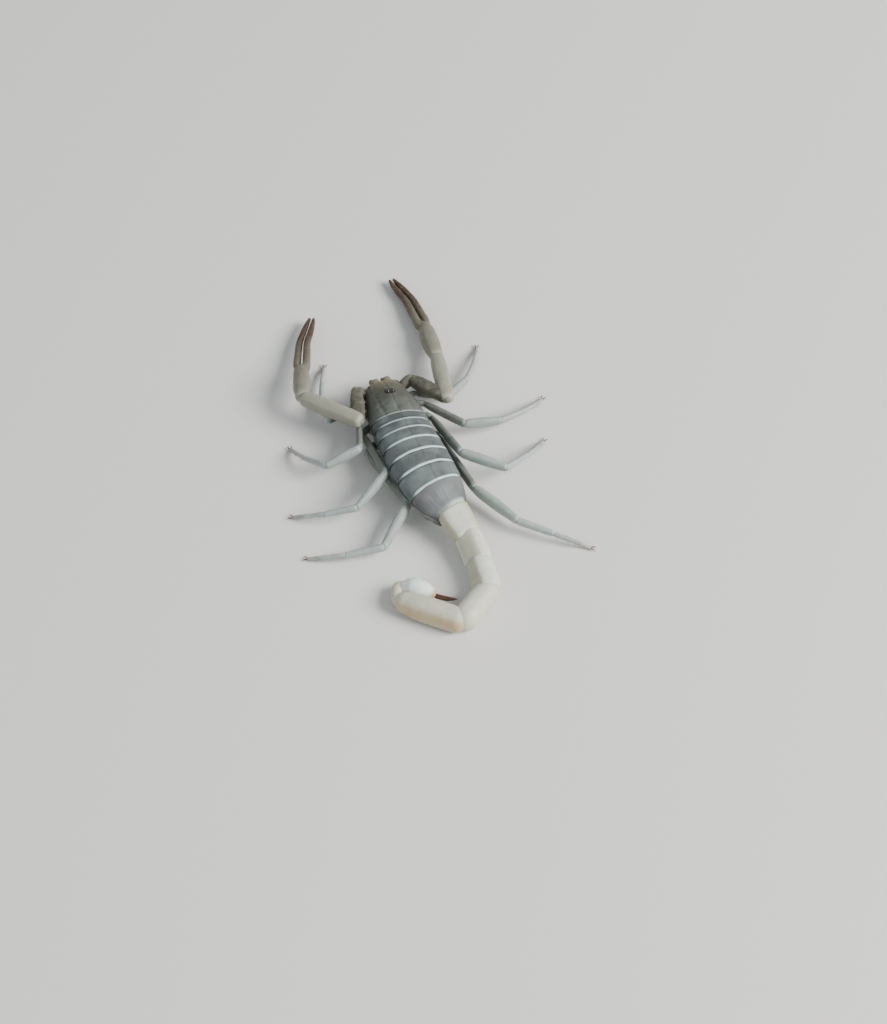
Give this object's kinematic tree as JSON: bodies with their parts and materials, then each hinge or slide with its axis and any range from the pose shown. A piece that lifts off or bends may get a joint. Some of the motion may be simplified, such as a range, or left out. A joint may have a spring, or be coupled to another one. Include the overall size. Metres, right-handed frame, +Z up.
{
  "type": "desert scorpion model",
  "caption": "Life-size still model of a pale desert scorpion resting flat, pincers ahead and tail curled round to its left side on the ground.",
  "frame": {"origin": "centre of the model's bounding box in plan, on the floor that the feet and tail rest on", "axes": "the head faces -Y, the animal's left is +X, +Z is up"},
  "size_m": [0.0246, 0.0392, 0.0046],
  "materials": {
    "shell": "satin blue-grey cuticle with pale greenish-white bands",
    "flesh": "soft grey-green skin between the plates",
    "tail": "cream-white satin cuticle",
    "leg": "pale blue-grey translucent satin cuticle",
    "claw": "grey-cream satin cuticle",
    "finger": "dull brown satin cuticle",
    "sting": "glossy dark red-brown",
    "eye": "glossy near-black"
  },
  "bodies": {
    "root": {"carapace": "shell", "median_eye_left": "eye", "median_eye_right": "eye", "trunk": "flesh", "tergite_1": "shell", "tergite_2": "shell", "tergite_3": "shell", "tergite_4": "shell", "tergite_5": "shell", "tergite_6": "shell", "tergite_7": "shell", "chelicera_left": "claw", "pedipalp_left_femur": "claw", "pedipalp_left_patella": "claw", "pedipalp_left_hand": "claw", "pedipalp_left_movable_finger": "finger", "leg_left_1_femur": "leg", "leg_left_1_patella": "leg", "leg_left_1_tibia_tarsus": "leg", "leg_left_2_femur": "leg", "leg_left_2_patella": "leg", "leg_left_2_tibia_tarsus": "leg", "leg_left_3_femur": "leg", "leg_left_3_patella": "leg", "leg_left_3_tibia_tarsus": "leg", "leg_left_4_femur": "leg", "leg_left_4_patella": "leg", "leg_left_4_tibia_tarsus": "leg", "pectine_left": "claw", "chelicera_right": "claw", "pedipalp_right_femur": "claw", "pedipalp_right_patella": "claw", "pedipalp_right_hand": "claw", "pedipalp_right_movable_finger": "finger", "leg_right_1_femur": "leg", "leg_right_1_patella": "leg", "leg_right_1_tibia_tarsus": "leg", "leg_right_2_femur": "leg", "leg_right_2_patella": "leg", "leg_right_2_tibia_tarsus": "leg", "leg_right_3_femur": "leg", "leg_right_3_patella": "leg", "leg_right_3_tibia_tarsus": "leg", "leg_right_4_femur": "leg", "leg_right_4_patella": "leg", "leg_right_4_tibia_tarsus": "leg", "pectine_right": "claw", "metasoma_1": "tail", "metasoma_2": "tail", "metasoma_3": "tail", "metasoma_4": "tail", "metasoma_5": "tail", "telson_vesicle": "tail", "telson_sting": "sting"}
  },
  "joints": []
}
